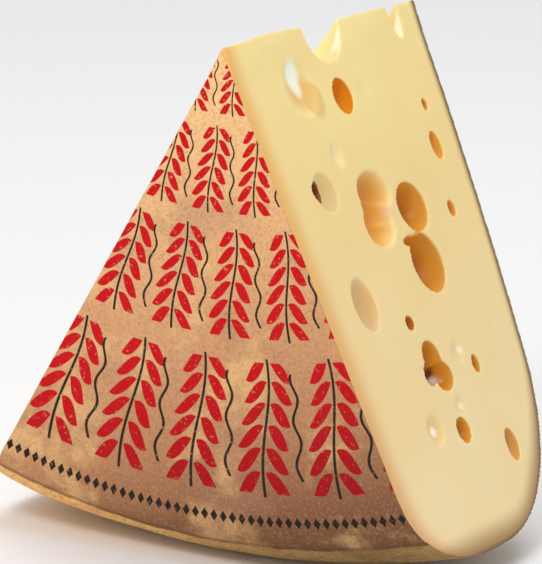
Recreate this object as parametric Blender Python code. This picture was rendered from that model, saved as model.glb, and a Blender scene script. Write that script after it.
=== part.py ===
"""A wedge of hard cheese with round eyes, standing on its rind with the cut point up.

Frame: +Z up, X across the printed rind face, Y from that face (front, -Y) to the
domed rind face (back, +Y). The origin is on the resting flat, at the centre of the box.
"""

import math
import random

import bmesh
import bpy
from mathutils import Matrix, Vector

MM = 0.001

# Driving dimensions, in millimetres
WHEEL_RADIUS = 447.0  # of the whole wheel that the wedge was cut from
WHEEL_HEIGHT = 225.1  # at the wheel's axis
APEX_OFFSET = 165.0  # from the wheel's axis to the wedge's edge
WEDGE_ANGLE = 55.5  # degrees between the two cuts
RESTING_FLAT = 5.0  # how far the soft rind gives where the wedge stands
CREST_DEPTH = 85.0  # from the front face to where the rim stands out most
FRONT_FLAT_RADIUS = 397.0  # the front face is flat out to here
FRONT_SHOULDER_POWER = 2.46
FULLER_SHOULDER = 7.6  # how much further forward the front shoulder stands at the other cut
FULLER_DEPTH = 14.0  # the depth where it does so most
BACK_DOME_RADIUS = 1840.0  # the back face bulges as a cap of this radius
BACK_SHOULDER_START = 350.0  # radius where the back face turns towards the rim
BACK_SHOULDER_POWER = 2.4
POINT_WIDTH = 2.0  # the thin edge between the cuts is worn to this width
APEX_THICKNESS = 217.0  # front face to back face along that edge

# Finer or coarser facets
SWEEP_DEGREES = 20.0  # half of the wheel's turn that is modelled before the cuts
SWEEP_STEPS = 22
SHOULDER_STEPS = 12
DOME_STEPS = 5

HALF_ANGLE = math.radians(WEDGE_ANGLE / 2)
AXIS_HEIGHT = WHEEL_RADIUS - RESTING_FLAT
APEX_HEIGHT = AXIS_HEIGHT - APEX_OFFSET
FRONT_Y = -APEX_THICKNESS / 2

# Eyes in the shown cut: along the cut from the point, depth from the front face,
# half sizes along both, how deep the hollow reaches, and how far its middle lies inside.
# All in millimetres. A middle outside the cut, below zero, makes a shallow dish.
SHOWN_EYES = (
    ("point_notch", 2, 105.5, 18.5, 20.5, 2),
    ("point_slit", 1, 190.5, 17.5, 6.5, 1),
    ("point_chip", -1, 18, 4, 16, 0),
    ("high_dish", 30.4, 62.6, 27, 27, -21),
    ("high_deep", 40.1, 103.5, 11.2, 10.4, 5),
    ("high_small", 57.3, 187.5, 3.7, 3, 1.5),
    ("high_edge", 80.8, 182.5, 8.6, 5.4, 2.5),
    ("ring_dish", 69.8, 73.2, 13.5, 12, -10.6),
    ("wide_dish", 86.6, 47.6, 26, 25, -22.5),
    ("wide_dish_pit", 84.6, 38.2, 5.2, 3.4, 2.5),
    ("double_upper", 95, 96.3, 14.5, 19, -7),
    ("double_lower", 111.5, 89.7, 15, 17, -7),
    ("pair_upper", 108.5, 130.6, 14.6, 15.8, 4),
    ("pair_crack", 125.2, 115.5, 2.8, 8.8, 1),
    ("pair_lower", 139.5, 124.3, 18, 17, 6),
    ("side_small", 116.4, 172.4, 5, 3.9, 1.5),
    ("low_dish", 149, 42.9, 28.6, 21, -20.5),
    ("middle_small", 166.5, 80.8, 4.6, 4.8, 2.5),
    ("bean_upper", 190, 87, 11.2, 9, 4),
    ("bean_lower", 199.2, 94.5, 8.8, 10.4, 4),
    ("bean_pit", 196, 79.5, 5, 4.5, 6),
    ("right_small", 199.9, 133.1, 5.6, 3.9, 2),
    ("low_deep", 230, 93.6, 7.6, 7, 2.5),
    ("pearl_dish", 223.8, 64.2, 18.2, 18.2, -15.7),
    ("low_right", 247.8, 138.4, 9.4, 6.2, 2),
)

# Eyes in the other cut follow a rule: a seeded scatter, the large ones placed first
OTHER_SEED = 11
OTHER_SIZES = (17, 15, 14, 12, 10, 9, 8, 7, 6, 5, 5, 4, 4, 3.5)
OTHER_ALONG = (26, 250)
OTHER_DEPTH = (24, 168)
OTHER_CORNER = 375.0  # along, depth and size together stay under this, clear of the round rind
OTHER_SPACING = 9.0  # cheese left between two eyes
OTHER_TRIES = 400


def front_shoulder(turn):
    """Radius and depth on the front shoulder, from the flat face (0) to the crest (1)."""
    angle = turn * math.pi / 2
    power = 2 / FRONT_SHOULDER_POWER
    reach = WHEEL_RADIUS - FRONT_FLAT_RADIUS
    radius = FRONT_FLAT_RADIUS + reach * math.sin(angle) ** power
    depth = CREST_DEPTH * (1 - math.cos(angle) ** power)
    return radius, depth


def dome_depth(radius):
    """Depth of the domed back face, from the front face's plane."""
    return WHEEL_HEIGHT - radius**2 / (2 * BACK_DOME_RADIUS)


def back_shoulder(turn):
    """Radius and depth on the back shoulder, from the crest (0) to the dome (1)."""
    angle = (1 - turn) * math.pi / 2
    power = 2 / BACK_SHOULDER_POWER
    reach = WHEEL_RADIUS - BACK_SHOULDER_START
    radius = BACK_SHOULDER_START + reach * math.sin(angle) ** power
    rise = math.cos(angle) ** power
    return radius, CREST_DEPTH + (dome_depth(radius) - CREST_DEPTH) * rise


def wheel_profile():
    """Outline of half the wheel, as radius and depth, from the front centre round to the back."""
    points = [(0.0, 0.0)]
    points += [front_shoulder(i / SHOULDER_STEPS) for i in range(SHOULDER_STEPS)]
    points += [back_shoulder(i / SHOULDER_STEPS) for i in range(SHOULDER_STEPS + 1)]
    for i in range(DOME_STEPS - 1, -1, -1):
        radius = BACK_SHOULDER_START * i / DOME_STEPS
        points.append((radius, dome_depth(radius)))
    return points


def fill_out_shoulder(bm):
    """Brings the front shoulder forward towards the other cut, as the real wheel is uneven."""
    half_width = WHEEL_RADIUS * math.sin(math.radians(SWEEP_DEGREES))
    for vert in bm.verts:
        share = min(1.0, max(0.0, 0.5 - vert.co.x / MM / half_width / 2))
        depth = (vert.co.y / MM - FRONT_Y) / FULLER_DEPTH
        vert.co.y -= FULLER_SHOULDER * share * depth * math.exp(1 - depth) * MM


def cut_side(bm, point, outward):
    """Cuts away what lies beyond a plane and closes the opening."""
    geometry = bm.verts[:] + bm.edges[:] + bm.faces[:]
    found = bmesh.ops.bisect_plane(
        bm, geom=geometry, dist=1e-7, plane_co=point, plane_no=outward, clear_outer=True
    )
    rim = [e for e in found["geom_cut"] if isinstance(e, bmesh.types.BMEdge)]
    bmesh.ops.contextual_create(bm, geom=rim)


def cut_direction(side):
    """Unit vector along a cut, from the point down to the rim. side is 1 for the shown cut."""
    return Vector((side * math.sin(HALF_ANGLE), 0, -math.cos(HALF_ANGLE)))


def cut_outward(side):
    """Unit vector out of a cut face."""
    return Vector((side * math.cos(HALF_ANGLE), 0, math.sin(HALF_ANGLE)))


def wedge_body():
    """The wedge before its eyes: part of the turned wheel, cut by two planes and set down."""
    bm = bmesh.new()
    start = math.radians(-90 - SWEEP_DEGREES)
    profile = [
        bm.verts.new((r * MM * math.cos(start), (FRONT_Y + d) * MM, r * MM * math.sin(start)))
        for r, d in wheel_profile()
    ]
    edges = [bm.edges.new(pair) for pair in zip(profile, profile[1:])]
    bmesh.ops.spin(
        bm,
        geom=profile + edges,
        cent=(0, 0, 0),
        axis=(0, -1, 0),
        angle=math.radians(2 * SWEEP_DEGREES),
        steps=SWEEP_STEPS,
    )
    bmesh.ops.remove_doubles(bm, verts=bm.verts, dist=1e-6)
    bmesh.ops.holes_fill(bm, edges=bm.edges[:])
    bmesh.ops.recalc_face_normals(bm, faces=bm.faces[:])
    fill_out_shoulder(bm)
    bmesh.ops.translate(bm, verts=bm.verts, vec=(0, 0, AXIS_HEIGHT * MM))
    apex = Vector((0, 0, APEX_HEIGHT * MM))
    for side in (1, -1):
        cut_side(bm, apex, cut_outward(side))
    worn = POINT_WIDTH / 2 / math.tan(HALF_ANGLE) * MM
    cut_side(bm, apex - Vector((0, 0, worn)), Vector((0, 0, 1)))
    cut_side(bm, Vector((0, 0, 0)), Vector((0, 0, -1)))
    bmesh.ops.recalc_face_normals(bm, faces=bm.faces[:])
    mesh = bpy.data.meshes.new("cheese_wedge")
    bm.to_mesh(mesh)
    bm.free()
    body = bpy.data.objects.new("cheese_wedge", mesh)
    bpy.context.scene.collection.objects.link(body)
    return body


def eye_steps(size):
    """Facets round an eye: more for a large one."""
    return max(12, 2 * round(4 + size * 0.5))


def add_eye(collection, name, side, along, depth, size_along, size_depth, inside):
    """One hollow, as a rounded body with its pole on the cut's normal."""
    direction, outward = cut_direction(side), cut_outward(side)
    centre = Vector((0, FRONT_Y * MM, APEX_HEIGHT * MM))
    centre += direction * along * MM + Vector((0, depth * MM, 0)) - outward * inside * MM
    size_in = (size_along + size_depth) / 2
    axes = Matrix((direction, outward.cross(direction), outward)).transposed().to_4x4()
    steps = eye_steps(max(size_along, size_depth))
    bm = bmesh.new()
    sizes = Matrix.Diagonal((size_along * MM, size_depth * MM, size_in * MM, 1))
    bmesh.ops.create_uvsphere(
        bm,
        u_segments=steps,
        v_segments=steps // 2,
        radius=1.0,
        matrix=Matrix.Translation(centre) @ axes @ sizes,
    )
    mesh = bpy.data.meshes.new(name)
    bm.to_mesh(mesh)
    bm.free()
    collection.objects.link(bpy.data.objects.new(name, mesh))


def other_eyes():
    """Eyes of the hidden cut, as along, depth, size and how far the middle lies inside."""
    draw = random.Random(OTHER_SEED)
    placed = []
    for size in OTHER_SIZES:
        for _ in range(OTHER_TRIES):
            along, depth = draw.uniform(*OTHER_ALONG), draw.uniform(*OTHER_DEPTH)
            inside = draw.uniform(-0.55, 0.45) * size
            clear = all(
                math.hypot(along - a, depth - d) > size + s + OTHER_SPACING
                for a, d, s, _ in placed
            )
            if clear and along + depth + size < OTHER_CORNER:
                placed.append((along, depth, size, inside))
                break
    return placed


def cut_eyes(body):
    """Takes every eye out of the body in one Boolean difference."""
    cutters = bpy.data.collections.new("eyes")
    bpy.context.scene.collection.children.link(cutters)
    for name, along, depth, size_along, size_depth, inside in SHOWN_EYES:
        add_eye(cutters, name, 1, along, depth, size_along, size_depth, inside)
    for i, (along, depth, size, inside) in enumerate(other_eyes()):
        add_eye(cutters, f"other_eye_{i:02d}", -1, along, depth, size, size, inside)
    cut = body.modifiers.new("eyes", "BOOLEAN")
    cut.operation = "DIFFERENCE"
    cut.operand_type = "COLLECTION"
    cut.collection = cutters
    cut.solver = "EXACT"
    cut.use_self = True
    bpy.context.view_layer.update()
    evaluated = body.evaluated_get(bpy.context.evaluated_depsgraph_get())
    finished = bpy.data.meshes.new_from_object(evaluated)
    body.modifiers.clear()
    body.data = finished
    finished.name = "cheese_wedge"
    for cutter in list(cutters.objects):
        bpy.data.objects.remove(cutter)
    bpy.data.collections.remove(cutters)


def cheese_material():
    """Pale yellow paste, slightly moist."""
    material = bpy.data.materials.new("cheese")
    material.use_nodes = True
    shader = material.node_tree.nodes["Principled BSDF"]
    shader.inputs["Base Color"].default_value = (0.83, 0.64, 0.30, 1)
    shader.inputs["Roughness"].default_value = 0.45
    shader.inputs["Metallic"].default_value = 0.0
    return material


def main():
    for obj in list(bpy.data.objects):
        bpy.data.objects.remove(obj)
    body = wedge_body()
    cut_eyes(body)
    body.data.materials.clear()
    body.data.materials.append(cheese_material())
    body.data.shade_smooth()
    body.data.set_sharp_from_angle(angle=math.radians(35))


main()
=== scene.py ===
import math
import random

import bpy
from mathutils import Matrix, Vector


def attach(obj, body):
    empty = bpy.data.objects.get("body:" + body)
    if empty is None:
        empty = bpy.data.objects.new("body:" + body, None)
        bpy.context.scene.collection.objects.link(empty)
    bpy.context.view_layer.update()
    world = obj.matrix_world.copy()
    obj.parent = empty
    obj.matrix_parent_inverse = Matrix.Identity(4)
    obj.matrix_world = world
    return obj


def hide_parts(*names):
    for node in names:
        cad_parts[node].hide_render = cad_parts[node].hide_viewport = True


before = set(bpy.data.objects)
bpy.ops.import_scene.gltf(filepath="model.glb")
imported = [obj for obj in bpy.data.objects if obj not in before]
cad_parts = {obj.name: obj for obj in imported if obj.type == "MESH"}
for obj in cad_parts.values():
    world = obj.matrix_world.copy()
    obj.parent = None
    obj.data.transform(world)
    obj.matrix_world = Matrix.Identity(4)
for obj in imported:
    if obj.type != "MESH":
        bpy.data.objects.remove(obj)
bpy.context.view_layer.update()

# Dimensions of the wedge in millimetres, with the wheel 1.6 thicker than in the solid model
MM = 0.001
WHEEL_RADIUS = 447.0
WHEEL_HEIGHT = 226.7
APEX_OFFSET = 165.0
WEDGE_ANGLE = 55.5
RESTING_FLAT = 5.0
CREST_DEPTH = 85.0
FRONT_FLAT_RADIUS = 397.0
FRONT_POWER = 2.46
FULLER_SHOULDER = 7.6
FULLER_DEPTH = 14.0
HALF_WIDTH = 153.0
BACK_DOME_RADIUS = 1840.0
BACK_START = 350.0
BACK_POWER = 2.4
THICKNESS = 217.0
POINT_WIDTH = 0.8

HALF_ANGLE = math.radians(WEDGE_ANGLE / 2)
AXIS_Z = WHEEL_RADIUS - RESTING_FLAT
APEX_Z = AXIS_Z - APEX_OFFSET
APEX = Vector((0, 0, APEX_Z * MM))
FRONT_Y = -THICKNESS / 2

# The far lower corner hangs lower, more and more over a width and a height
LOWER_CORNER = 3.2
CORNER_SIDE = 50.0
CORNER_WIDTH = 60.0
CORNER_TOP = 75.0
CORNER_HEIGHT = 50.0

# The top edge is raised from this height upwards: evenly, in humps and in small crumbs.
# Each hump is its rise, its depth from the front face and its spread
CREST_FROM = 258.0
CREST_LIFT = 1.4
CREST_HUMPS = ((2.6, 52.0, 40.0), (0.8, 150.0, 35.0))
CREST_CRUMBS = 0.35

# Turned profiles reach this far to each side of straight down
HALF_SWEEP = math.radians(20)
BODY_STEPS = 60
LABEL_STEPS = 80

# The body's mesh: sizes of its cells and its slow swell in metres, and the share of faces kept
FINE_CELL = 0.00095
SWELL_SIZE = 0.045
SWELL_HEIGHT = 0.0007
KEPT_FACES = 0.28

# Deep eyes have their middle above this share of their size. Their walls are marked between
# two depths under the cut, and a little beyond the eye's own shape
DEEP_FROM = -0.3
MARKED_FROM = 0.3
MARKED_TO = 40.0
MARKED_BEYOND = 1.5

# The paper on the flat rind face, with the radii of its flat part and its steps round the shoulder
LABEL_RADIUS = 430.0
WORN_LIP = 1.0
LABEL_THICKNESS = 0.45
LABEL_INSET = 0.5
LABEL_RINGS = (148.5, 240.0, 320.0)
LABEL_SHOULDER_STEPS = 60

# The print: rings of sprigs, in steps of turn and of the logarithm of the radius. Lengths
# within a sprig are shares of its width
FIRST_RING = 0.1595
RING_STEP = 0.232
SPRIG_STEP = 0.112
SPRIG_HEIGHT = RING_STEP / SPRIG_STEP
COLUMNS_LEFT = 20.0
LEAF_STEP = 0.30
LEAF_SLANT = 0.9
LEAF_START = 0.03
LEAF_REACH = 0.335
LEAF_WIDTH = 0.125
TENDRIL_PLACE = 0.37
PRINT_EDGE = (0.4035, 0.4025)
BORDER_RADIUS = 0.4125
LOZENGE_STEP = 0.0135
LOZENGE_HEIGHT = 0.0036
LOZENGE_WIDTH = 0.42

# Where colours of the paste begin and are full, in metres
CREST_FADE = (0.258, 0.252)
DISH_EDGE = (0.0006, 0.003)
EYE_EDGE = (0.0003, 0.0012)
TINT_EDGE = (0.0002, 0.0010)
SHOWN_SIDE = (0.0, 0.002)
FRONT_GLOW = (0.022, 0.0)
# The thin dark line along the rind is painted shade
EDGE_SHADE_LINE = (0.0055, 0.0020)
RIND_SKIN = (0.0014, 0.0006)
PAPERED = (0.4285, 0.4265)

# The photo's camera, in metres from the wedge's point on the front face
CAMERA_PLACE = (1.0710, -1.9592, 0.3869)
CAMERA_TARGET = (0.03535, 0.0, -0.1172)
CAMERA_ROLL = math.radians(-2.96)
FOCAL_PIXELS = 4391
PHOTO_HEIGHT = 564
SENSOR_WIDTH = 36

# Eyes in the shown cut, in millimetres: along the cut from the point, depth from the front
# face, half sizes along both, and how far the middle lies inside (below zero for a dish)
SHOWN_EYES = (
    (2, 105.5, 18.5, 20.5, 2),
    (1, 190.5, 17.5, 6.5, 1),
    (30.4, 62.6, 40, 40, -36.5),
    (40.1, 103.5, 11.2, 10.4, 5),
    (57.3, 187.5, 3.7, 3, 1.5),
    (80.8, 182.5, 8.6, 5.4, 2.5),
    (69.8, 73.2, 13.5, 12, -10.6),
    (86.6, 47.6, 26, 25, -22.5),
    (84.6, 39.2, 5.2, 4.6, 3.0),
    (95, 96.3, 14.5, 19, -7),
    (111.5, 89.7, 15, 17, -7),
    (103, 93, 16.5, 16, -5.5),
    (108.5, 130.6, 14.6, 15.8, 4),
    (125.2, 115.5, 2.8, 8.8, 1),
    (139.5, 124.3, 18, 17, 6),
    (116.4, 172.4, 5, 3.9, 1.5),
    (149, 42.9, 28.6, 21, -20.5),
    (166.5, 80.8, 4.6, 4.8, 2.5),
    (188.5, 89.5, 10.8, 10, 4),
    (199.2, 94.5, 8.8, 10.4, 4),
    (196, 81, 6.6, 6, 2),
    (199.9, 133.1, 5.6, 3.9, 2),
    (230, 93.6, 7.6, 7, 2.5),
    (223.8, 64.2, 18.2, 18.2, -15.7),
    (247.8, 138.4, 9.4, 6.2, 2),
)

# Faint dents that the wire left over eyes just under the shown cut, in the same form
FAINT_DENTS = (
    (39.1, 128.8, 31, 31, -30.2),
    (132.4, 183.2, 16, 16, -15.5),
    (182.9, 166.1, 18, 18, -17.5),
    (190.5, 117, 18, 18, -16.6),
    (217.4, 99.5, 16, 16, -14.7),
)

# Tints, painted highlights and painted shade on the shown cut: along, depth, half sizes along
# both, softness, strength and the colour on a screen
CUT_TINTS_HIGHLIGHTS_AND_SHADE = (
    (38.0, 73.0, 12.5, 9.5, 0.35, 0.85, (234, 192, 116)),
    # Painted highlights in the dishes, the faint dents and a deep eye, the next seven
    (22.0, 61.5, 11.0, 9.5, 0.6, 1.0, (255, 255, 236)),
    (30.0, 64.0, 7.0, 6.0, 0.8, 0.8, (255, 253, 232)),
    (69.5, 74.0, 9.0, 7.5, 0.9, 0.5, (255, 240, 190)),
    (224.3, 64.3, 4.4, 4.6, 0.9, 1.0, (255, 255, 238)),
    (189.4, 121.6, 3.4, 4.0, 0.9, 0.7, (255, 248, 216)),
    (217.4, 100.8, 3.0, 4.0, 0.9, 0.7, (255, 248, 216)),
    (200.8, 85.0, 3.2, 3.2, 0.9, 0.8, (250, 242, 218)),
    (107.0, 107.0, 7.0, 5.0, 0.9, 0.5, (222, 186, 150)),
    (121.0, 120.0, 3.2, 13.0, 0.6, 0.8, (240, 210, 150)),
    # Painted shade in the narrow crack
    (125.0, 114.5, 2.8, 8.5, 0.5, 0.9, (138, 84, 40)),
)

# Tints, painted light and painted shade, only inside the shallow dishes and notches, in the same
# form
DISH_TINTS_LIGHT_AND_SHADE = (
    # Painted light on the bright walls of the notch at the point and of the slit, the next two
    (9.0, 123.5, 18.0, 8.0, 0.8, 0.75, (255, 255, 236)),
    (8.0, 196.0, 18.0, 7.0, 0.5, 0.95, (255, 255, 240)),
    (86.0, 52.0, 22.0, 20.0, 0.4, 0.6, (214, 184, 128)),
    # Painted shade in the small dark pit
    (84.5, 41.5, 5.2, 3.9, 0.15, 0.95, (118, 58, 24)),
    (149.0, 42.0, 26.0, 16.0, 0.6, 0.65, (208, 168, 126)),
    (152.0, 57.0, 26.0, 10.0, 0.8, 0.7, (226, 174, 96)),
    (224.0, 68.0, 20.0, 20.0, 0.3, 0.4, (232, 198, 124)),
    (190.5, 117.0, 9.0, 9.0, 0.4, 0.4, (232, 204, 140)),
    (217.4, 99.5, 9.0, 9.0, 0.4, 0.4, (232, 204, 140)),
)

# Tints, painted shade and a painted highlight, only inside the deep eyes, in the same form
EYE_TINTS_SHADE_AND_HIGHLIGHTS = (
    (39.5, 113.0, 15.0, 13.0, 0.6, 1.0, (255, 170, 38)),
    # Painted shade in the small dark pit
    (84.4, 43.5, 9.0, 8.0, 0.2, 1.0, (128, 64, 24)),
    (247.5, 143.5, 13.0, 8.0, 0.6, 0.9, (228, 180, 110)),
    (81.0, 187.5, 12.0, 8.0, 0.5, 0.9, (244, 184, 80)),
    (166.6, 85.5, 6.0, 5.0, 0.5, 0.6, (196, 100, 26)),
    # Painted shade in a deep eye's pit, then a painted highlight beside it
    (196.0, 98.0, 4.8, 4.6, 0.6, 1.0, (104, 60, 26)),
    (200.0, 100.5, 3.8, 3.8, 0.8, 0.9, (240, 230, 208)),
)

# Eyes in the other cut, by the same rule as in the solid model
OTHER_SEED = 11
OTHER_SIZES = (17, 15, 14, 12, 10, 9, 8, 7, 6, 5, 5, 4, 4, 3.5)
OTHER_ALONG = (26, 250)
OTHER_DEPTH = (24, 168)
OTHER_INSIDE = (-0.55, 0.45)
OTHER_CORNER = 375.0
OTHER_SPACING = 9.0
OTHER_TRIES = 400


# Shape of the whole wheel

def front_shoulder(turn):
    """Radius and depth from the edge of the flat face (0) to the crest of the rim (1)."""
    angle = turn * math.pi / 2
    power = 2 / FRONT_POWER
    radius = FRONT_FLAT_RADIUS + (WHEEL_RADIUS - FRONT_FLAT_RADIUS) * math.sin(angle) ** power
    return radius, CREST_DEPTH * (1 - math.cos(angle) ** power)


def dome_depth(radius):
    return WHEEL_HEIGHT - radius**2 / (2 * BACK_DOME_RADIUS)


def back_shoulder(turn):
    """Radius and depth from the crest of the rim (0) to the domed back (1)."""
    angle = (1 - turn) * math.pi / 2
    power = 2 / BACK_POWER
    radius = BACK_START + (WHEEL_RADIUS - BACK_START) * math.sin(angle) ** power
    rise = math.cos(angle) ** power
    return radius, CREST_DEPTH + (dome_depth(radius) - CREST_DEPTH) * rise


def wheel_profile(shoulder_steps=40, dome_steps=8):
    points = [(0.0, 0.0)]
    points += [front_shoulder(i / shoulder_steps) for i in range(shoulder_steps)]
    points += [back_shoulder(i / shoulder_steps) for i in range(shoulder_steps + 1)]
    points += [
        (BACK_START * i / dome_steps, dome_depth(BACK_START * i / dome_steps))
        for i in range(dome_steps - 1, -1, -1)
    ]
    return points


def within(share):
    return min(1.0, max(0.0, share))


def fill_out_shoulder(piece):
    """Makes the wheel uneven: a fuller front shoulder and a lower corner on the far side."""
    for vert in piece.data.vertices:
        share = within(0.5 - vert.co.x / MM / HALF_WIDTH / 2)
        depth = (vert.co.y / MM - FRONT_Y) / FULLER_DEPTH
        vert.co.y -= FULLER_SHOULDER * share * depth * math.exp(1 - depth) * MM
        far = within((-vert.co.x / MM - CORNER_SIDE) / CORNER_WIDTH)
        low = within((CORNER_TOP - vert.co.z / MM) / CORNER_HEIGHT)
        vert.co.z -= LOWER_CORNER * far * low * MM


def cut_direction(side):
    return Vector((side * math.sin(HALF_ANGLE), 0, -math.cos(HALF_ANGLE)))


def cut_outward(side):
    return Vector((side * math.cos(HALF_ANGLE), 0, math.sin(HALF_ANGLE)))


# Working with operators

def start_clean():
    if bpy.context.object and bpy.context.object.mode != "OBJECT":
        bpy.ops.object.mode_set(mode="OBJECT")
    bpy.ops.object.select_all(action="DESELECT")


def select_only(piece):
    start_clean()
    piece.select_set(True)
    bpy.context.view_layer.objects.active = piece


def apply_modifiers(piece):
    select_only(piece)
    for modifier in list(piece.modifiers):
        bpy.ops.object.modifier_apply(modifier=modifier.name)


def extrude_along(points):
    """Draws an edge chain in edit mode by extruding from the one selected point."""
    for here, there in zip(points, points[1:]):
        step = tuple(b - a for a, b in zip(here, there))
        bpy.ops.mesh.extrude_region_move(TRANSFORM_OT_translate={"value": step})


def turned_profile(name, profile, steps):
    """Turns a (radius, depth) profile about the wheel's axis, evenly about straight down."""
    start_clean()
    start = math.radians(-90) - HALF_SWEEP
    places = [
        (r * MM * math.cos(start), (FRONT_Y + d) * MM, AXIS_Z * MM + r * MM * math.sin(start))
        for r, d in profile
    ]
    bpy.ops.mesh.primitive_plane_add(size=0.001, location=places[0])
    piece = bpy.context.object
    piece.name = piece.data.name = name
    bpy.ops.object.mode_set(mode="EDIT")
    bpy.ops.mesh.merge(type="CENTER")
    extrude_along(places)
    bpy.ops.mesh.select_all(action="SELECT")
    bpy.ops.mesh.spin(
        steps=steps,
        angle=2 * HALF_SWEEP,
        center=(0, 0, AXIS_Z * MM),
        axis=(0, 1, 0),
    )
    bpy.ops.mesh.select_all(action="SELECT")
    bpy.ops.mesh.remove_doubles(threshold=1e-6)
    bpy.ops.object.mode_set(mode="OBJECT")
    bpy.ops.object.transform_apply(location=True, rotation=True, scale=True)
    fill_out_shoulder(piece)
    return piece


def bisect_away(place, outward, fill):
    """In edit mode, cuts off what lies beyond a plane."""
    bpy.ops.mesh.select_all(action="SELECT")
    bpy.ops.mesh.bisect(
        plane_co=place,
        plane_no=outward,
        use_fill=fill,
        clear_outer=True,
    )


def point_place(along, depth, side, inside=0.0):
    """A place on a cut, from the distance along it and the depth from the front face."""
    place = Vector((0, FRONT_Y + depth, APEX_Z))
    place += cut_direction(side) * along - cut_outward(side) * inside
    return place * MM


# The cheese body

def wheel_sector():
    """The wedge before its eyes, cut out of the turned wheel and set down on its flat."""
    body = turned_profile("cheese", wheel_profile(), BODY_STEPS)
    select_only(body)
    bpy.ops.object.mode_set(mode="EDIT")
    bpy.ops.mesh.select_all(action="SELECT")
    bpy.ops.mesh.fill_holes(sides=0)
    for side in (1, -1):
        bisect_away(APEX, cut_outward(side), fill=True)
    worn = POINT_WIDTH / 2 / math.tan(HALF_ANGLE) * MM
    bisect_away(APEX - Vector((0, 0, worn)), Vector((0, 0, 1)), fill=True)
    bisect_away(Vector((0, 0, 0)), Vector((0, 0, -1)), fill=True)
    bpy.ops.mesh.select_all(action="SELECT")
    bpy.ops.mesh.normals_make_consistent(inside=False)
    bpy.ops.object.mode_set(mode="OBJECT")
    return body


def add_eye(side, along, depth, size_along, size_depth, inside):
    """One hollow: a rounded body whose pole is on the cut's normal."""
    direction, outward = cut_direction(side), cut_outward(side)
    turn = Matrix((direction, outward.cross(direction), outward)).transposed().to_euler()
    bpy.ops.mesh.primitive_uv_sphere_add(
        segments=40,
        ring_count=20,
        radius=1.0,
        location=point_place(along, depth, side, inside),
        rotation=turn,
        scale=(size_along * MM, size_depth * MM, (size_along + size_depth) / 2 * MM),
    )
    return bpy.context.object


def other_eyes():
    """Round eyes drawn at random for the other cut, none too near another or the rind."""
    draw = random.Random(OTHER_SEED)
    placed = []
    for size in OTHER_SIZES:
        for _ in range(OTHER_TRIES):
            along, depth = draw.uniform(*OTHER_ALONG), draw.uniform(*OTHER_DEPTH)
            inside = draw.uniform(*OTHER_INSIDE) * size
            clear = all(
                math.hypot(along - eye[0], depth - eye[1]) > size + eye[2] + OTHER_SPACING
                for eye in placed
            )
            if clear and along + depth + size < OTHER_CORNER:
                placed.append((along, depth, size, size, inside))
                break
    return placed


def cut_eyes(body):
    """Takes all the hollows out of the body in one go."""
    start_clean()
    cutters = [add_eye(1, *eye) for eye in SHOWN_EYES + FAINT_DENTS]
    cutters += [add_eye(-1, *eye) for eye in other_eyes()]
    hollows = bpy.data.collections.new("hollows")
    bpy.context.scene.collection.children.link(hollows)
    for cutter in cutters:
        for home in list(cutter.users_collection):
            home.objects.unlink(cutter)
        hollows.objects.link(cutter)
    cut = body.modifiers.new("eyes", "BOOLEAN")
    cut.operation = "DIFFERENCE"
    cut.operand_type = "COLLECTION"
    cut.collection = hollows
    cut.solver = "EXACT"
    cut.use_self = True
    apply_modifiers(body)
    for cutter in cutters:
        bpy.data.objects.remove(cutter)
    bpy.data.collections.remove(hollows)


def soften(body):
    """Rounds every cut edge a little, as a wire leaves it, on a fine even mesh."""
    fine = body.modifiers.new("fine", "REMESH")
    fine.mode = "VOXEL"
    fine.voxel_size = FINE_CELL
    fine.use_smooth_shade = True
    relax = body.modifiers.new("relax", "SMOOTH")
    relax.factor = 0.5
    relax.iterations = 2
    uneven = bpy.data.textures.new("uneven", "CLOUDS")
    uneven.noise_scale = SWELL_SIZE
    uneven.noise_depth = 1
    swell = body.modifiers.new("swell", "DISPLACE")
    swell.texture = uneven
    swell.texture_coords = "LOCAL"
    swell.strength = SWELL_HEIGHT
    swell.mid_level = 0.5
    lighter = body.modifiers.new("lighter", "DECIMATE")
    lighter.ratio = KEPT_FACES
    apply_modifiers(body)


def hollow_share(eye, along, depth, under):
    """How deep a point lies in a deep eye, as a share of the eye's size, or 0 outside it."""
    at, level, size_along, size_depth, inside = eye
    size = (size_along + size_depth) / 2
    reach = math.hypot(
        (along - at) / size_along,
        (depth - level) / size_depth,
        (under - inside) / size,
    )
    is_inside = inside > DEEP_FROM * size and reach < 1 + MARKED_BEYOND / size
    return under / size if is_inside else 0.0


def mark_hollows(body):
    """Stores how deep each point lies in its eye, for the material to paint shade on the eye
    walls.
    """
    eyes = {1: SHOWN_EYES, -1: other_eyes()}
    hollow = body.data.attributes.new("hollow", "FLOAT", "POINT")
    for vert in body.data.vertices:
        side = 1 if vert.co.x > 0 else -1
        from_apex = vert.co - APEX
        under = -from_apex.dot(cut_outward(side)) / MM
        if MARKED_FROM < under < MARKED_TO:
            along = from_apex.dot(cut_direction(side)) / MM
            depth = vert.co.y / MM - FRONT_Y
            shares = [hollow_share(eye, along, depth, under) for eye in eyes[side]]
            hollow.data[vert.index].value = max(shares)


def crest_rise(depth):
    """How far the top edge is raised at a depth from the front face."""
    humps = [rise * math.exp(-(((depth - at) / spread) ** 2)) for rise, at, spread in CREST_HUMPS]
    crumbs = CREST_CRUMBS * math.sin(depth * 0.61) * math.sin(depth * 0.23 + 1.0)
    return CREST_LIFT + sum(humps) + crumbs


def raise_crest(body):
    """Brings the top edge up to its uneven line, which the softening took down."""
    for vert in body.data.vertices:
        share = within((vert.co.z / MM - CREST_FROM) / (APEX_Z - CREST_FROM))
        if share > 0:
            rise = crest_rise(vert.co.y / MM - FRONT_Y)
            vert.co.z += rise * share**2 * (3 - 2 * share) * MM


def make_cheese():
    """The finished body, with each point's depth in its eye stored on it."""
    body = wheel_sector()
    cut_eyes(body)
    soften(body)
    raise_crest(body)
    mark_hollows(body)
    return body


# The label sheet

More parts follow.
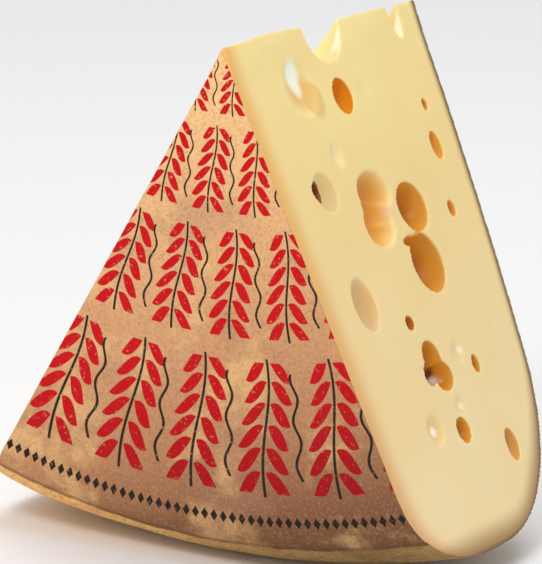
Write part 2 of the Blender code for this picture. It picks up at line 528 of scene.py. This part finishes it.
def make_label():
    """A thin sheet over the flat rind face and a little way round its shoulder."""
    shoulder = [front_shoulder(i / LABEL_SHOULDER_STEPS) for i in range(LABEL_SHOULDER_STEPS)]
    profile = [(r, 0.0) for r in LABEL_RINGS]
    profile += [(r, d) for r, d in shoulder if r < LABEL_RADIUS]
    sheet = turned_profile("label", profile, LABEL_STEPS)
    select_only(sheet)
    bpy.ops.object.mode_set(mode="EDIT")
    for side in (1, -1):
        inset = cut_outward(side) * LABEL_INSET * MM
        bisect_away(APEX - inset, cut_outward(side), fill=False)
    bpy.ops.mesh.select_all(action="SELECT")
    bpy.ops.mesh.normals_make_consistent(inside=False)
    bpy.ops.object.mode_set(mode="OBJECT")
    if sheet.data.polygons[0].normal.y > 0:
        sheet.data.flip_normals()
    thick = sheet.modifiers.new("thick", "SOLIDIFY")
    thick.thickness = 2 * LABEL_THICKNESS * MM
    thick.offset = 0.0
    apply_modifiers(sheet)
    return sheet


# Material helpers

class Surface:
    """A material being drawn: each call adds a node and gives its output."""

    def __init__(self, name):
        self.material = bpy.data.materials.new(name)
        self.material.use_nodes = True
        self.tree = self.material.node_tree
        self.shader = self.tree.nodes["Principled BSDF"]
        self.place = self.tree.nodes.new("ShaderNodeTexCoord").outputs["Object"]

    def join(self, value, socket):
        if isinstance(value, bpy.types.NodeSocket):
            self.tree.links.new(value, socket)
        elif socket.type == "RGBA":
            socket.default_value = (*value, 1)
        else:
            socket.default_value = value

    def calc(self, operation, a, b=0.0, c=0.0):
        node = self.tree.nodes.new("ShaderNodeMath")
        node.operation = operation
        for value, socket in zip((a, b, c), node.inputs):
            self.join(value, socket)
        return node.outputs[0]

    def split(self, vector):
        node = self.tree.nodes.new("ShaderNodeSeparateXYZ")
        self.join(vector, node.inputs[0])
        return node.outputs

    def combine(self, x, y, z):
        node = self.tree.nodes.new("ShaderNodeCombineXYZ")
        for value, socket in zip((x, y, z), node.inputs):
            self.join(value, socket)
        return node.outputs[0]

    def ramp(self, value, low, high, at_low=0.0, at_high=1.0):
        """Smoothly from at_low to at_high while value goes from low to high."""
        node = self.tree.nodes.new("ShaderNodeMapRange")
        node.interpolation_type = "SMOOTHSTEP"
        if low > high:
            low, high, at_low, at_high = high, low, at_high, at_low
        for part, socket in zip((value, low, high, at_low, at_high), node.inputs):
            self.join(part, socket)
        return node.outputs[0]

    def noise(self, size, detail=3.0, roughness=0.55):
        """Even noise, 0 to 1, whose blots are about size metres across."""
        node = self.tree.nodes.new("ShaderNodeTexNoise")
        self.join(self.place, node.inputs["Vector"])
        node.inputs["Scale"].default_value = 1 / size
        node.inputs["Detail"].default_value = detail
        node.inputs["Roughness"].default_value = roughness
        return node.outputs["Fac"]

    def attribute(self, name):
        node = self.tree.nodes.new("ShaderNodeAttribute")
        node.attribute_name = name
        return node.outputs["Fac"]

    def near(self, place, middle, sizes, softness):
        """1 within an ellipse on a plane, fading to 0 at its edge."""
        scaled = self.tree.nodes.new("ShaderNodeVectorMath")
        scaled.operation = "MULTIPLY_ADD"
        self.join(place, scaled.inputs[0])
        scaled.inputs[1].default_value = (1 / sizes[0], 1 / sizes[1], 0)
        scaled.inputs[2].default_value = (-middle[0] / sizes[0], -middle[1] / sizes[1], 0)
        length = self.tree.nodes.new("ShaderNodeVectorMath")
        length.operation = "LENGTH"
        self.join(scaled.outputs[0], length.inputs[0])
        return self.ramp(length.outputs["Value"], 1.0, 1.0 - softness)

    def stops(self, value, *pairs):
        """A colour scale: each pair is a position, 0 to 1, and a colour."""
        node = self.tree.nodes.new("ShaderNodeValToRGB")
        self.join(value, node.inputs["Fac"])
        marks = node.color_ramp.elements
        while len(marks) < len(pairs):
            marks.new(0.5)
        for mark, (position, shade) in zip(marks, pairs):
            mark.position = position
            mark.color = (*shade, 1)
        return node.outputs["Color"]

    def mix(self, amount, a, b):
        node = self.tree.nodes.new("ShaderNodeMix")
        node.data_type = "RGBA"
        self.join(amount, node.inputs["Factor"])
        self.join(a, node.inputs["A"])
        self.join(b, node.inputs["B"])
        return node.outputs["Result"]

    def bump(self, height, distance):
        node = self.tree.nodes.new("ShaderNodeBump")
        node.inputs["Distance"].default_value = distance
        node.inputs["Strength"].default_value = 1.0
        self.join(height, node.inputs["Height"])
        return node.outputs["Normal"]

    def finish(self, inputs):
        """Sets the shader's inputs by their names and gives the material."""
        for name, value in inputs.items():
            self.join(value, self.shader.inputs[name])
        return self.material


def colour(red, green, blue):
    """A colour as a screen shows it, 0 to 255, made linear."""
    def linear(value):
        value /= 255
        return value / 12.92 if value <= 0.04045 else ((value + 0.055) / 1.055) ** 2.4

    return tuple(linear(value) for value in (red, green, blue))


def patched(s, base, pattern, edges, strength, tint):
    """Lays a tint over a colour where a noise goes from the first edge to the second."""
    return s.mix(s.ramp(pattern, *edges, 0.0, strength), base, tint)


def between(s, value, low, high, blur=0.01):
    """1 between two values, with a short fade at each end."""
    return s.calc("MULTIPLY", s.ramp(value, low, low + blur), s.ramp(value, high, high - blur))


# Where a point lies in the wheel. All lengths in materials are in metres

def wheel_distances(s):
    """Place across and upwards, distance from the wheel's axis and depth from the front."""
    x, y, z = s.split(s.place)
    below_axis = s.calc("SUBTRACT", AXIS_Z * MM, z)
    squares = s.calc("ADD", s.calc("MULTIPLY", x, x), s.calc("MULTIPLY", below_axis, below_axis))
    radius = s.calc("SQRT", squares)
    depth = s.calc("SUBTRACT", y, FRONT_Y * MM)
    return x, z, radius, depth


def shoulder_rise(s, radius, start, power):
    """1 up to the radius where a shoulder starts, falling to 0 at the crest of the rim."""
    reach = (WHEEL_RADIUS - start) * MM
    out = s.calc("DIVIDE", s.calc("SUBTRACT", radius, start * MM), reach)
    out = s.calc("MAXIMUM", out, 0.0)
    out = s.calc("MINIMUM", out, 0.99999)
    left = s.calc("SUBTRACT", 1.0, s.calc("POWER", out, power))
    return s.calc("POWER", left, 1 / power)


def depth_under_front(s, x, radius, depth):
    """How far a point lies under the flat face and the front shoulder."""
    rise = shoulder_rise(s, radius, FRONT_FLAT_RADIUS, FRONT_POWER)
    face = s.calc("MULTIPLY", s.calc("SUBTRACT", 1.0, rise), CREST_DEPTH * MM)
    share = s.calc("MULTIPLY_ADD", x, -1 / (2 * HALF_WIDTH * MM), 0.5)
    ratio = s.calc("DIVIDE", face, FULLER_DEPTH * MM)
    fading = s.calc("EXPONENT", s.calc("SUBTRACT", 1.0, ratio))
    forward = s.calc("MULTIPLY", s.calc("MULTIPLY", ratio, fading), share)
    face = s.calc("MULTIPLY_ADD", forward, -FULLER_SHOULDER * MM, face)
    return s.calc("SUBTRACT", depth, face)


def depth_under_back(s, radius, depth):
    """How far a point lies under the domed back and its shoulder."""
    rise = shoulder_rise(s, radius, BACK_START, BACK_POWER)
    squares = s.calc("MULTIPLY", radius, radius)
    middle = (WHEEL_HEIGHT - CREST_DEPTH) * MM
    dome = s.calc("MULTIPLY_ADD", squares, -1 / (2 * BACK_DOME_RADIUS * MM), middle)
    back = s.calc("MULTIPLY_ADD", dome, rise, CREST_DEPTH * MM)
    return s.calc("SUBTRACT", back, depth)


def depth_under_outside(s, radius, depth):
    """How far a point lies under the back or the rim, blended where they meet."""
    under_back = depth_under_back(s, radius, depth)
    under_rim = s.calc("MULTIPLY", s.calc("SUBTRACT", WHEEL_RADIUS * MM, radius), 1.6)
    return s.calc("SMOOTH_MIN", under_back, under_rim, 0.02)


def depth_under_cut(s, x, z):
    """How far a point lies under the cut on its own side."""
    outward = s.calc("MULTIPLY", s.calc("ABSOLUTE", x), math.cos(HALF_ANGLE))
    upward = s.calc("MULTIPLY", s.calc("SUBTRACT", z, APEX_Z * MM), math.sin(HALF_ANGLE))
    return s.calc("MULTIPLY", s.calc("ADD", outward, upward), -1.0)


def place_on_cut(s, x, z, depth):
    """A flat place: the distance along the cut from the point, and the depth."""
    along = s.calc("MULTIPLY", s.calc("ABSOLUTE", x), math.sin(HALF_ANGLE))
    down = s.calc("MULTIPLY", s.calc("SUBTRACT", APEX_Z * MM, z), math.cos(HALF_ANGLE))
    return s.combine(s.calc("ADD", along, down), depth, 0.0)


# The cheese material

def rind_colour(s, x):
    """Mottled rind, golden on the left side and olive brown on the right."""
    side = s.ramp(x, -0.10, 0.10)
    rind = s.mix(side, colour(252, 202, 124), colour(166, 132, 80))
    dull = s.mix(side, colour(232, 168, 104), colour(136, 104, 58))
    rind = patched(s, rind, s.noise(0.02, 5.0, 0.65), (0.4, 0.62), 0.8, dull)
    return patched(s, rind, s.noise(0.0022, 4.0, 0.75), (0.50, 0.66), 0.65, colour(104, 74, 40))


def tinted(s, base, cut_place, mask, tints):
    """Lays soft-edged tints, painted highlights and painted shade over a colour, each at its place
    on the shown cut.
    """
    for along, depth, half_along, half_depth, softness, strength, tint in tints:
        halves = (half_along * MM, half_depth * MM)
        spot = s.near(cut_place, (along * MM, depth * MM), halves, softness)
        spot = s.calc("MULTIPLY", s.calc("MULTIPLY", spot, strength), mask)
        base = s.mix(spot, base, colour(*tint))
    return base


def paste_colour(s, height, blotches):
    """Pale paste, yellower towards the point and warmer in large blotches."""
    paste = s.stops(
        height,
        (0.0, colour(242, 224, 178)),
        (0.35, colour(241, 216, 160)),
        (0.7, colour(242, 215, 148)),
        (1.0, colour(250, 229, 156)),
    )
    return patched(s, paste, blotches, (0.35, 0.7), 0.4, colour(240, 208, 142))


def dish_colour_and_shade(s, under_cut):
    """Warmer and darker the deeper a dish goes, over its first 12 mm: painted shade of the hollow.
    """
    return s.stops(
        s.calc("DIVIDE", under_cut, 0.012),
        (0.0, colour(242, 212, 146)),
        (0.25, colour(236, 194, 112)),
        (0.6, colour(226, 160, 64)),
        (1.0, colour(212, 138, 44)),
    )


def wall_colour_and_shade(s, hollow):
    """Walls of deep eyes, from gold at the rim to dark brown at the bottom: painted shade deep in
    the eye.
    """
    return s.stops(
        s.calc("DIVIDE", hollow, 1.6),
        (0.0, colour(238, 190, 100)),
        (0.2, colour(234, 174, 70)),
        (0.5, colour(220, 146, 40)),
        (0.75, colour(186, 112, 30)),
        (1.0, colour(110, 54, 22)),
    )


def with_eyes(s, paste, x, z, depth):
    """Adds the colours of dishes and deep eyes with their painted shade, and the tints, painted
    highlights and painted shade of single ones, to the paste.
    """
    under_cut = depth_under_cut(s, x, z)
    below_crest = s.ramp(z, *CREST_FADE)
    in_dish = s.calc("MULTIPLY", s.ramp(under_cut, *DISH_EDGE), below_crest)
    paste = s.mix(in_dish, paste, dish_colour_and_shade(s, under_cut))
    hollow = s.attribute("hollow")
    in_eye = s.calc("MULTIPLY", s.ramp(hollow, 0.03, 0.1), s.ramp(under_cut, *EYE_EDGE))
    in_eye = s.calc("MULTIPLY", in_eye, below_crest)
    paste = s.mix(in_eye, paste, wall_colour_and_shade(s, hollow))
    cut_place = place_on_cut(s, x, z, depth)
    shown_cut = s.ramp(x, *SHOWN_SIDE)
    in_any = s.calc("MULTIPLY", shown_cut, s.ramp(under_cut, *TINT_EDGE))
    paste = tinted(s, paste, cut_place, in_any, DISH_TINTS_LIGHT_AND_SHADE)
    paste = tinted(s, paste, cut_place, shown_cut, CUT_TINTS_HIGHLIGHTS_AND_SHADE)
    return tinted(s, paste, cut_place, s.calc("MULTIPLY", shown_cut, in_eye), EYE_TINTS_SHADE_AND_HIGHLIGHTS)


def browned_and_shaded(s, paste, z, height, under_front, outer):
    """Warms the paste towards the label, browns it in a band at the rind that widens downwards as
    painted shade, and paints shade in a thin dark line at the rind.
    """
    glow = s.mix(s.ramp(height, 0.1, 0.9), colour(222, 172, 116), colour(236, 184, 104))
    paste = s.mix(s.calc("POWER", s.ramp(under_front, *FRONT_GLOW), 1.6), paste, glow)
    # A brown band at the rind, the paste's own browning, widening towards the bottom as painted
    # shade
    band_width = s.ramp(z, 0.10, 0.0, 0.009, 0.034)
    band = s.ramp(s.calc("DIVIDE", outer, band_width), 1.0, 0.0, 0.0, 0.9)
    paste = s.mix(band, paste, colour(148, 104, 50))
    # A thin dark line of painted shade along the rind's edge
    return s.mix(s.ramp(outer, *EDGE_SHADE_LINE, 0.0, 0.8), paste, colour(116, 88, 54))


def cheese_material():
    """Paste that browns towards the rind with painted shade along its edge, eyes with warm walls,
    painted shade and painted highlights, and rough rind outside.
    """
    s = Surface("cheese")
    x, z, radius, depth = wheel_distances(s)
    height = s.calc("DIVIDE", z, APEX_Z * MM)
    blotches = s.noise(0.055, 2.0)
    under_front = depth_under_front(s, x, radius, depth)
    outer = depth_under_outside(s, radius, depth)
    paste = paste_colour(s, height, blotches)
    paste = with_eyes(s, paste, x, z, depth)
    paste = browned_and_shaded(s, paste, z, height, under_front, outer)

    papered = s.ramp(radius, *PAPERED, 0.0, 0.0012)
    rind_depth = s.calc("MINIMUM", s.calc("ADD", under_front, papered), outer)
    is_rind = s.ramp(rind_depth, *RIND_SKIN)
    rough = s.noise(0.0035, 4.0, 0.7)
    fine = s.noise(0.0012, 3.0, 0.6)
    relief = s.calc("MULTIPLY_ADD", fine, 0.03, s.calc("MULTIPLY", rough, is_rind))
    paste_roughness = s.ramp(blotches, 0.3, 0.7, 0.32, 0.42)
    return s.finish({
        "Base Color": s.mix(is_rind, paste, rind_colour(s, x)),
        "Roughness": s.calc("MULTIPLY_ADD", is_rind, 0.4, paste_roughness),
        "Normal": s.bump(relief, 0.0016),
        "Specular IOR Level": 0.3,
        "Subsurface Weight": 0.25,
        "Subsurface Radius": (1.0, 0.6, 0.25),
        "Subsurface Scale": 0.005,
    })


# The label material

def sprig_place(s, turn, radius):
    """Place in a sprig's own field: across from its middle, and up from its foot."""
    ring = s.calc("LOGARITHM", s.calc("DIVIDE", radius, FIRST_RING), math.e)
    ring = s.calc("DIVIDE", ring, RING_STEP)
    odd = s.calc("MODULO", s.calc("FLOOR", ring), 2.0)
    column = s.calc("ADD", s.calc("DIVIDE", turn, SPRIG_STEP), COLUMNS_LEFT)
    column = s.calc("MULTIPLY_ADD", odd, 0.5, column)
    across = s.calc("SUBTRACT", s.calc("FRACT", column), 0.5)
    return across, s.calc("MULTIPLY", s.calc("FRACT", ring), SPRIG_HEIGHT)


def stem_and_leaves(s, across, up):
    """Masks of a bent stem and of the pairs of pointed leaves on it."""
    bend = s.calc("MULTIPLY", s.calc("SINE", s.calc("MULTIPLY_ADD", up, 2.6, 0.4)), 0.07)
    beside = s.calc("ABSOLUTE", s.calc("SUBTRACT", s.calc("ADD", across, 0.08), bend))
    stem = s.ramp(beside, 0.026, 0.014)
    stem = s.calc("MULTIPLY", stem, between(s, up, 0.14, SPRIG_HEIGHT - 0.09))

    slanted = s.calc("SUBTRACT", up, s.calc("MULTIPLY", beside, LEAF_SLANT))
    along = s.calc("FRACT", s.calc("DIVIDE", slanted, LEAF_STEP))
    middle = s.calc("MULTIPLY", s.calc("SUBTRACT", along, 0.5), LEAF_STEP)
    outwards = s.calc("DIVIDE", s.calc("SUBTRACT", beside, LEAF_START), LEAF_REACH)
    hump = s.calc("MULTIPLY", outwards, s.calc("SUBTRACT", 1.0, outwards))
    half = s.calc("MULTIPLY", s.calc("MAXIMUM", hump, 0.0), 4 * LEAF_WIDTH)
    leaf = s.ramp(s.calc("SUBTRACT", s.calc("ABSOLUTE", middle), half), 0.0, -0.008)
    return stem, s.calc("MULTIPLY", leaf, between(s, up, 0.20, SPRIG_HEIGHT - 0.13))


def tendril(s, across, up):
    """Mask of the wavy line beside each sprig."""
    wave = s.calc("MULTIPLY", s.calc("SINE", s.calc("MULTIPLY", up, 11.0)), 0.045)
    off_line = s.calc("SUBTRACT", s.calc("SUBTRACT", across, TENDRIL_PLACE), wave)
    line = s.ramp(s.calc("ABSOLUTE", off_line), 0.028, 0.014)
    return s.calc("MULTIPLY", line, between(s, up, 0.35, SPRIG_HEIGHT - 0.3))


def lozenge_border(s, turn, radius):
    """Mask of the row of small lozenges near the label's edge."""
    off_row = s.calc("ABSOLUTE", s.calc("SUBTRACT", radius, BORDER_RADIUS))
    beat = s.calc("FRACT", s.calc("DIVIDE", turn, LOZENGE_STEP))
    off_middle = s.calc("ABSOLUTE", s.calc("SUBTRACT", beat, 0.5))
    tall = s.calc("DIVIDE", off_row, LOZENGE_HEIGHT)
    wide = s.calc("DIVIDE", off_middle, LOZENGE_WIDTH)
    return s.ramp(s.calc("ADD", tall, wide), 1.0, 0.85)


def label_print(s, x, z, radius):
    """The print's two masks: red leaves, and dark stems, tendrils and border."""
    turn = s.calc("ARCTAN2", x, s.calc("SUBTRACT", AXIS_Z * MM, z))
    across, up = sprig_place(s, turn, radius)
    stem, leaf = stem_and_leaves(s, across, up)
    field = s.ramp(radius, *PRINT_EDGE)
    dark = s.calc("MULTIPLY", s.calc("MAXIMUM", stem, tendril(s, across, up)), field)
    border = lozenge_border(s, turn, radius)
    return s.calc("MULTIPLY", leaf, field), s.calc("MAXIMUM", dark, border)


def paper_colour(s, darkening_and_shade):
    """Tan paper, darker towards the lower right, partly its own tone and partly painted shade, in
    warm and cool patches and fine specks.
    """
    paper = s.stops(
        darkening_and_shade,
        (0.12, colour(246, 196, 138)),
        (0.45, colour(214, 160, 112)),
        (0.68, colour(180, 126, 88)),
        (0.82, colour(128, 84, 56)),
        (0.95, colour(84, 51, 26)),
    )
    paper = patched(s, paper, s.noise(0.034, 4.0, 0.6), (0.48, 0.68), 0.5, colour(236, 194, 130))
    paper = patched(s, paper, s.noise(0.045, 3.0, 0.6), (0.52, 0.7), 0.4, colour(166, 118, 96))
    paper = patched(s, paper, s.noise(0.0015, 3.0, 0.8), (0.46, 0.66), 0.325, colour(108, 72, 48))
    return patched(s, paper, s.noise(0.0017, 3.0, 0.8), (0.48, 0.68), 0.11, colour(255, 230, 186))


def worn_edge(s, printed, x, radius):
    """A ragged dark line where the paper ends, and bare rind beyond it."""
    reach = s.calc("ADD", radius, s.ramp(x, 0.0, -0.10, 0.0, WORN_LIP * MM))
    reach = s.calc("MULTIPLY_ADD", s.noise(0.012, 4.0, 0.65), 0.003, reach)
    past_edge = s.calc("SUBTRACT", reach, LABEL_RADIUS * MM)
    off_line = s.calc("ABSOLUTE", s.calc("ADD", past_edge, 0.0006))
    printed = s.mix(s.ramp(off_line, 0.0016, 0.0003, 0.0, 0.5), printed, colour(92, 60, 36))
    return s.mix(s.ramp(past_edge, 0.0, 0.0016, 0.0, 0.9), printed, rind_colour(s, x))


def label_material():
    """Mottled tan paper grown into the rind, with a worn two-colour print of leafy sprigs."""
    s = Surface("label_paper")
    x, z, radius, _ = wheel_distances(s)
    # Darkening towards the lower right: partly the paper's own tone, partly painted shade
    darkening_and_shade = s.calc("MULTIPLY_ADD", z, -0.75 / (APEX_Z * MM), 0.875)
    darkening_and_shade = s.calc("MULTIPLY_ADD", x, 0.25 / 0.274, darkening_and_shade)
    red, dark = label_print(s, x, z, radius)
    worn = s.ramp(s.noise(0.0026, 3.0, 0.7), 0.30, 0.42, 0.35, 1.0)
    # The ink darkens with it as painted shade
    ink = s.mix(s.ramp(darkening_and_shade, 0.5, 0.95), colour(190, 4, 16), colour(134, 2, 12))
    printed = s.mix(s.calc("MULTIPLY", red, worn), paper_colour(s, darkening_and_shade), ink)
    printed = s.mix(s.calc("MULTIPLY", dark, worn), printed, colour(38, 26, 22))

    grain = s.noise(0.004, 4.0, 0.65)
    crease = s.noise(0.03, 2.0, 0.5)
    relief = s.calc("MULTIPLY_ADD", crease, 0.6, s.calc("MULTIPLY", grain, 0.4))
    return s.finish({
        "Base Color": worn_edge(s, printed, x, radius),
        "Roughness": s.ramp(grain, 0.3, 0.7, 0.55, 0.7),
        "Normal": s.bump(relief, 0.0016),
        "Specular IOR Level": 0.15,
    })


# Stage, light and camera

def make_floor():
    start_clean()
    bpy.ops.mesh.primitive_plane_add(size=12, location=(0, 0, -0.0005))
    floor = bpy.context.object
    floor.name = "floor"
    s = Surface("studio_floor")
    shade = s.mix(s.noise(0.8, 2.0), (0.90, 0.90, 0.90), (0.92, 0.92, 0.92))
    floor.data.materials.append(s.finish({"Base Color": shade, "Roughness": 0.9}))


def make_world():
    world = bpy.data.worlds.new("studio")
    world.use_nodes = True
    background = world.node_tree.nodes["Background"]
    background.inputs["Color"].default_value = (1, 1, 1, 1)
    background.inputs["Strength"].default_value = 0.6
    bpy.context.scene.world = world


def add_light(name, place, size, watts, aim=(0, 0, 0.12)):
    light = bpy.data.lights.new(name, "AREA")
    light.shape = "DISK"
    light.size = size
    light.energy = watts
    lamp = bpy.data.objects.new(name, light)
    bpy.context.scene.collection.objects.link(lamp)
    lamp.location = place
    lamp.rotation_euler = (Vector(aim) - Vector(place)).to_track_quat("-Z", "Y").to_euler()


def make_camera():
    """The photo's camera, as fitted to the wedge's outline and corner lines."""
    point = APEX + Vector((0, FRONT_Y * MM, 0))
    place = point + Vector(CAMERA_PLACE)
    forward = (point + Vector(CAMERA_TARGET) - place).normalized()
    level = forward.cross(Vector((0, 0, 1))).normalized()
    down = forward.cross(level)
    right = math.cos(CAMERA_ROLL) * level + math.sin(CAMERA_ROLL) * down
    up = right.cross(forward)
    camera = bpy.data.cameras.new("camera")
    camera.sensor_width = SENSOR_WIDTH
    camera.lens = FOCAL_PIXELS / PHOTO_HEIGHT * SENSOR_WIDTH
    camera.clip_end = 50
    view = bpy.data.objects.new("camera", camera)
    bpy.context.scene.collection.objects.link(view)
    turn = Matrix((right, up, -forward)).transposed().to_4x4()
    view.matrix_world = Matrix.Translation(place) @ turn
    bpy.context.scene.camera = view


make_camera()
make_floor()
make_world()
bpy.context.scene.view_settings.view_transform = "Standard"
add_light("key", (0.4, -2.0, 2.0), 0.9, 22)
add_light("low_fill", (-0.2, -2.4, 0.2), 1.0, 11)
add_light("overhead", (0.1, 0.7, 3.2), 2.4, 36, aim=(0, 0.7, 0))

cheese = make_cheese()
cheese.data.materials.append(cheese_material())
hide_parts("cheese_wedge")
label = make_label()
label.data.materials.append(label_material())
for piece in (cheese, label):
    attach(piece, "root")
    select_only(piece)
    bpy.ops.object.shade_smooth_by_angle(angle=math.radians(40))
